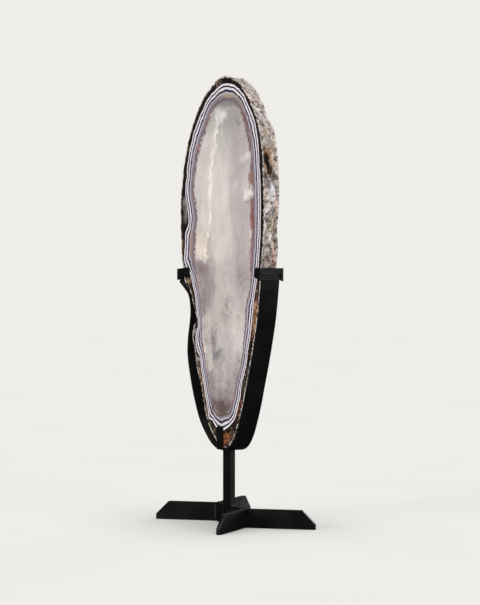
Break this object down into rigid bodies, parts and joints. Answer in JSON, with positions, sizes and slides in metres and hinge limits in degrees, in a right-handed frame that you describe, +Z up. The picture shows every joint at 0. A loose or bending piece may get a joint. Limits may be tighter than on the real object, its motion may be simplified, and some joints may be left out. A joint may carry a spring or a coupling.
{
  "type": "agate slice on a steel display stand",
  "caption": "Tall polished slice of a banded agate nodule with a rough rind, standing upright in a welded black flat-bar stand.",
  "frame": {"origin": "on the floor, on the underside of the base web, directly under the middle of the post", "axes": "+Z up; X across the width of the slice, with its notched side towards -X; the front face of the slice looks towards -Y"},
  "size_m": [0.2679, 0.1552, 0.611],
  "materials": {
    "agate": "polished sawn faces of milky quartz with fine white and blue-grey bands, rough pitted rind on the rim",
    "black_steel": "satin black paint on hot-rolled flat bar"
  },
  "bodies": {
    "root": {"agate_slice": "agate", "cradle_strip": "black_steel", "right_clip": "black_steel", "left_clip": "black_steel", "front_prong": "black_steel", "back_prong": "black_steel", "post": "black_steel", "base_web": "black_steel", "right_back_leg": "black_steel", "right_front_leg": "black_steel", "left_front_leg": "black_steel", "left_back_leg": "black_steel"}
  },
  "joints": []
}
